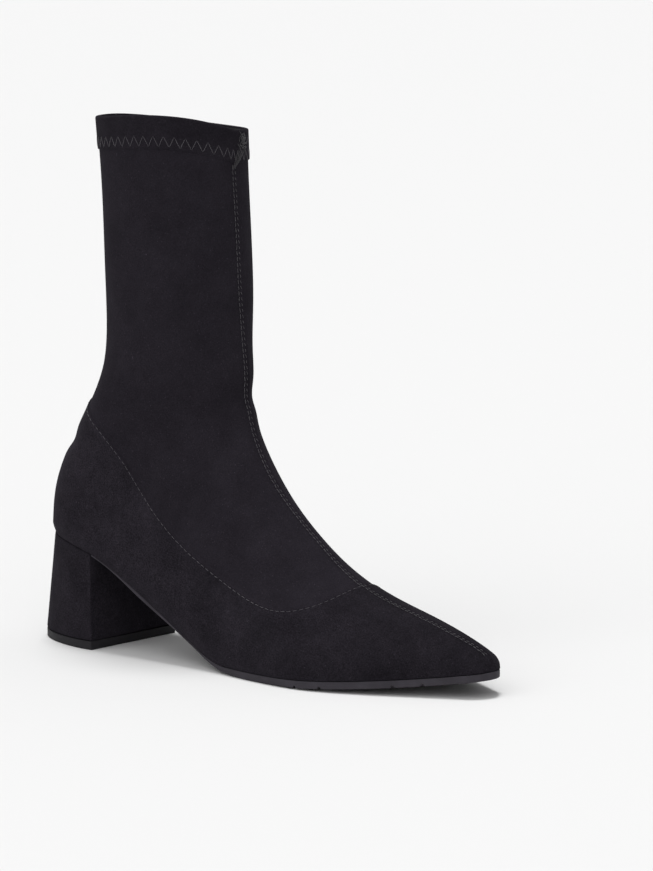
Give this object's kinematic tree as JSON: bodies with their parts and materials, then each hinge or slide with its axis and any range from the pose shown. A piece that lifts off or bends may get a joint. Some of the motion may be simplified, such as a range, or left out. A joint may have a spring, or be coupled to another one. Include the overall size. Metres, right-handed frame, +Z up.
{
  "type": "sock boot",
  "caption": "Pull-on ankle sock boot with a pointed toe, covered block heel, thin rubber sole and stretch shaft with a folded hem.",
  "frame": {"origin": "middle of the heel tap's rest on the floor", "axes": "+X to the toe, +Y to the inner (medial) side of the foot, +Z up"},
  "size_m": [0.2694, 0.0818, 0.2586],
  "materials": {
    "suede": "black suede-look stretch cloth with a soft nap",
    "heel_cover": "black suede-look cover",
    "sole_rubber": "matte black rubber",
    "tap_rubber": "matte black rubber",
    "sock_lining": "black lining cloth"
  },
  "bodies": {
    "root": {"upper": "suede", "outsole": "sole_rubber", "heel": "heel_cover", "heel_tap": "tap_rubber", "insole": "sock_lining"}
  },
  "joints": []
}
